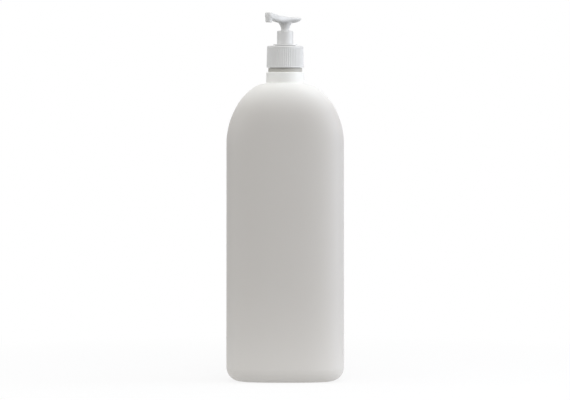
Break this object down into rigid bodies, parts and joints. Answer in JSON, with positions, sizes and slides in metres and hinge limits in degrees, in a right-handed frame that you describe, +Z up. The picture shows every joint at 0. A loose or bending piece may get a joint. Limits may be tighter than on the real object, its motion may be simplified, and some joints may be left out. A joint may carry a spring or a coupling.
{
  "type": "pump bottle",
  "caption": "Oval blown plastic bottle with a rounded shoulder and a screw-on lotion pump with saddle head, spout and dip tube.",
  "frame": {"origin": "centre of the bottle's base, on the plane of the ring it stands on", "axes": "+Z up along the neck and pump, +X along the bottle's width, the wide front faces -Y"},
  "size_m": [0.0984, 0.058, 0.308],
  "materials": {
    "bottle_plastic": "satin",
    "pump_plastic": "satin",
    "natural_plastic": "satin",
    "soft_plastic": "matte",
    "gasket_foam": "matte",
    "steel": "polished"
  },
  "bodies": {
    "bottle": {"bottle": "bottle_plastic"},
    "pump_body": {"housing": "natural_plastic", "chaplet": "pump_plastic", "gasket": "gasket_foam", "dip_tube": "natural_plastic", "spring": "steel"},
    "closure": {"closure": "pump_plastic"},
    "piston": {"piston": "soft_plastic"},
    "head": {"head": "pump_plastic", "stem": "pump_plastic", "piston_seat": "pump_plastic"},
    "inlet_ball": {"inlet_ball": "steel"},
    "outlet_ball": {"outlet_ball": "steel"}
  },
  "joints": [
    {"name": "thread_rise", "type": "slide", "parent": "bottle", "child": "pump_body", "axis": [0, 0, 1], "range_m": [0, 0.00635]},
    {"name": "closure_turn", "type": "hinge", "parent": "pump_body", "child": "closure", "pos_m": [0, 0, 0.27], "axis": [0, 0, 1], "range_deg": [0, 540]},
    {"name": "pump_press", "type": "slide", "parent": "pump_body", "child": "piston", "axis": [0, 0, 1], "range_m": [-0.014, 0], "stiffness_N_per_m": 600, "springref_m": 0.005, "deforming": ["spring"]},
    {"name": "head_swivel", "type": "hinge", "parent": "piston", "child": "head", "pos_m": [0, 0, 0.29], "axis": [0, 0, 1], "continuous": true},
    {"name": "inlet_ball_lift", "type": "slide", "parent": "pump_body", "child": "inlet_ball", "axis": [0, 0, 1], "range_m": [0, 0.002]},
    {"name": "outlet_ball_lift", "type": "slide", "parent": "head", "child": "outlet_ball", "axis": [0, 0, 1], "range_m": [0, 0.002]}
  ],
  "couplings": [
    {"joint": "thread_rise", "follows": "closure_turn", "m_per_rad": 0.00067323}
  ]
}
